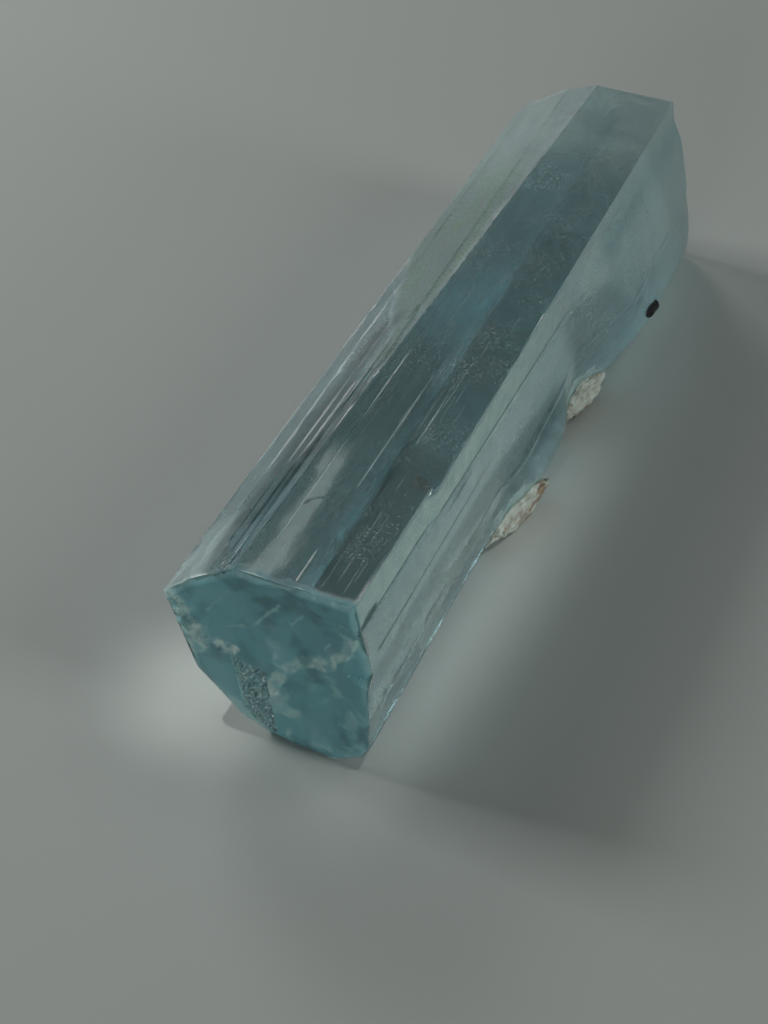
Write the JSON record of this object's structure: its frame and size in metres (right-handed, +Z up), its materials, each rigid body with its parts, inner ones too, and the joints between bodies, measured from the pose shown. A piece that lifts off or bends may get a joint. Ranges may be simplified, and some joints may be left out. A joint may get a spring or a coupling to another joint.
{
  "type": "aquamarine crystal",
  "caption": "Clear blue-green beryl prism with striated faces, a fractured end, a bevelled end, pale matrix crusts and a dark mineral grain, lying on its side.",
  "frame": {"origin": "middle of the footprint on the surface that the crystal lies on", "axes": "+Y along the crystal from the fractured end to the bevelled end, +Z up, +X towards the side that carries the matrix crusts"},
  "size_m": [0.0108, 0.0404, 0.0093],
  "materials": {
    "aquamarine": "clear beryl with fine striations, veils and needles inside",
    "matrix": "rough cream feldspar with brown iron stains",
    "dark_mineral": "dull dark grain"
  },
  "bodies": {
    "root": {"aquamarine": "aquamarine", "matrix_crust_near": "matrix", "matrix_crust_far": "matrix", "dark_mineral_grain": "dark_mineral"}
  },
  "joints": []
}
